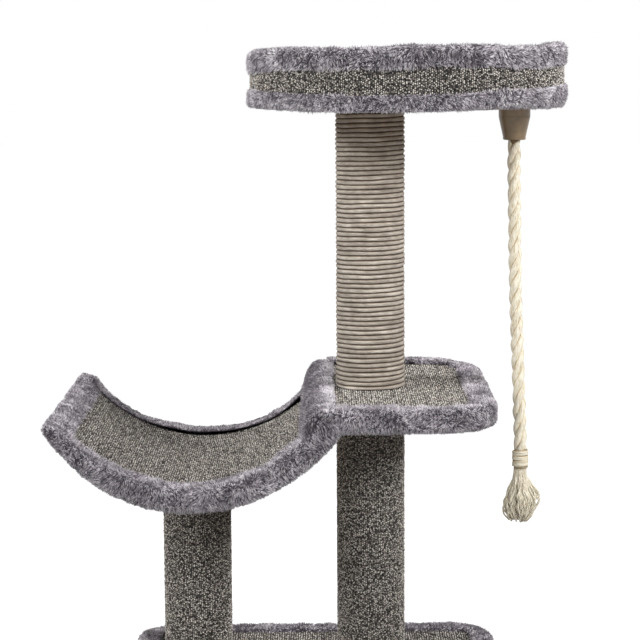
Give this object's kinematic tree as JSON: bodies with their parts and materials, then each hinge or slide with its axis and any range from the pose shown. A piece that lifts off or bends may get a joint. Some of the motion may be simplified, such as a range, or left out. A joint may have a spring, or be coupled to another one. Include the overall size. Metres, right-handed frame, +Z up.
{
  "type": "cat tree",
  "caption": "Free-standing cat tree: plush-edged carpeted base and posts, curved cradle, side platform, sisal post, round rimmed bed on top and a hanging rope toy.",
  "frame": {"origin": "centre of the outline's box, on the floor under the feet", "axes": "+Z up, +X towards the platform and the rope toy, -X towards the cradle, +Y to the back; the cradle's trough runs along Y"},
  "size_m": [0.6522, 0.411, 0.842],
  "materials": {
    "plush": "short grey-mauve pile plush, clouded light and dark where the pile lies differently",
    "loop_carpet": "coarse loop-pile carpet in rows, salt-and-pepper grey",
    "sisal": "fine taupe sisal rope, wound in close turns",
    "board": "raw particle board and bent plywood, unpainted",
    "cardboard": "spiral-wound cardboard tube",
    "steel": "zinc-plated steel",
    "felt": "dark needled felt",
    "cup_plastic": "satin taupe-brown plastic",
    "cotton_rope": "three-strand cream cotton rope with a frayed end"
  },
  "bodies": {
    "root": {"base_board": "board", "base_carpet": "loop_carpet", "base_trim": "plush", "base_feet": "felt", "short_post_tube": "cardboard", "short_post_carpet": "loop_carpet", "short_post_foot_plug": "board", "short_post_head_plug": "board", "lower_post_tube": "cardboard", "lower_post_carpet": "loop_carpet", "lower_post_foot_plug": "board", "lower_post_head_plug": "board", "upper_post_tube": "cardboard", "upper_post_sisal": "sisal", "upper_post_foot_plug": "board", "upper_post_head_plug": "board", "base_bolts": "steel", "base_washers": "steel", "tee_nuts": "steel", "middle_stud": "steel", "platform_board": "board", "platform_carpet": "loop_carpet", "platform_trim": "plush", "cradle_saddle": "board", "cradle_shell": "board", "cradle_carpet": "loop_carpet", "cradle_bolt": "steel", "cradle_front_trim": "plush", "cradle_back_trim": "plush", "cradle_end_trim": "plush", "junction_trim": "plush", "cradle_brackets": "steel", "bracket_screws": "steel", "bed_board": "board", "bed_hoop": "board", "bed_hoop_screws": "steel", "bed_floor_carpet": "loop_carpet", "bed_lining": "loop_carpet", "bed_band_carpet": "loop_carpet", "bed_lower_trim": "plush", "bed_upper_trim": "plush", "bed_bolt": "steel", "toy_cup": "cup_plastic", "toy_cup_screw": "steel"},
    "toy_knot": {"toy_knot": "cotton_rope"},
    "toy_rope": {"toy_rope": "cotton_rope", "toy_whipping": "cotton_rope", "toy_tassel": "cotton_rope"}
  },
  "joints": [
    {"name": "toy_swing_side", "type": "hinge", "parent": "root", "child": "toy_knot", "pos_m": [0.25863, 0, 0.7235], "axis": [0, -1, 0], "range_deg": [-4, 30]},
    {"name": "toy_swing_front", "type": "hinge", "parent": "toy_knot", "child": "toy_rope", "pos_m": [0.25863, 0, 0.7235], "axis": [1, 0, 0], "range_deg": [-25, 25]}
  ]
}
